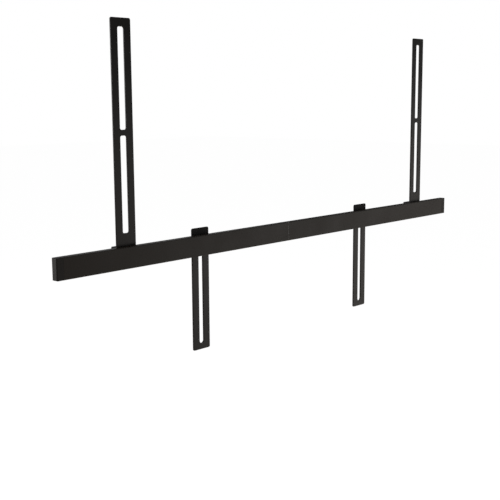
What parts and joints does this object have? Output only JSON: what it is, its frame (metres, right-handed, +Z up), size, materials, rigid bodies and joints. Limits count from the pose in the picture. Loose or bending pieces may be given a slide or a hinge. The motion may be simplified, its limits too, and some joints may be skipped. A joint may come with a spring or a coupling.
{
  "type": "soundbar bracket",
  "caption": "Slim slotted rail behind a flat television, with tall slotted arms up to it and short slotted arms down to a soundbar, all sliding and clamped.",
  "frame": {"origin": "middle of the rail's length, on the plane of its back face and of the arms' front faces, at the height of its slot", "axes": "+X along the rail to the right as seen from the front, +Y to the back, +Z up"},
  "size_m": [0.78, 0.0241, 0.3995],
  "materials": {
    "rail_coat": "satin black anodised extrusion",
    "arm_coat": "satin black powder coat on steel",
    "cap_nylon": "satin moulded black nylon",
    "clamp_nylon": "matte moulded black nylon",
    "black_zinc": "satin black zinc",
    "bright_zinc": "satin bright zinc"
  },
  "bodies": {
    "rail": {"rail_left": "rail_coat", "rail_right": "rail_coat", "rail_joiner": "bright_zinc", "joiner_grub_screws": "black_zinc", "end_cap_left": "cap_nylon", "end_cap_right": "cap_nylon"},
    "upper_carriage_left": {"upper_arm_left": "arm_coat", "upper_clamp_block_left": "clamp_nylon", "upper_washer_left": "black_zinc", "upper_clamp_screw_left": "black_zinc", "upper_slide_nut_left": "bright_zinc"},
    "lower_carriage_left": {"lower_clamp_saddle_left": "arm_coat", "lower_washer_left": "black_zinc", "lower_clamp_screw_left": "black_zinc", "lower_slide_nut_left": "bright_zinc"},
    "lower_arm_body_left": {"lower_arm_left": "arm_coat"},
    "upper_carriage_right": {"upper_arm_right": "arm_coat", "upper_clamp_block_right": "clamp_nylon", "upper_washer_right": "black_zinc", "upper_clamp_screw_right": "black_zinc", "upper_slide_nut_right": "bright_zinc"},
    "lower_carriage_right": {"lower_clamp_saddle_right": "arm_coat", "lower_washer_right": "black_zinc", "lower_clamp_screw_right": "black_zinc", "lower_slide_nut_right": "bright_zinc"},
    "lower_arm_body_right": {"lower_arm_right": "arm_coat"}
  },
  "joints": [
    {"name": "upper_left_along_rail", "type": "slide", "parent": "rail", "child": "upper_carriage_left", "axis": [1, 0, 0], "range_m": [-0.069, 0.042]},
    {"name": "lower_left_along_rail", "type": "slide", "parent": "rail", "child": "lower_carriage_left", "axis": [1, 0, 0], "range_m": [-0.042, 0.086]},
    {"name": "lower_right_along_rail", "type": "slide", "parent": "rail", "child": "lower_carriage_right", "axis": [1, 0, 0], "range_m": [-0.103, 0.058]},
    {"name": "upper_right_along_rail", "type": "slide", "parent": "rail", "child": "upper_carriage_right", "axis": [1, 0, 0], "range_m": [-0.058, 0.041]},
    {"name": "lower_left_height", "type": "slide", "parent": "lower_carriage_left", "child": "lower_arm_body_left", "axis": [0, 0, 1], "range_m": [-0.007, 0.121]},
    {"name": "lower_right_height", "type": "slide", "parent": "lower_carriage_right", "child": "lower_arm_body_right", "axis": [0, 0, 1], "range_m": [-0.007, 0.121]}
  ]
}
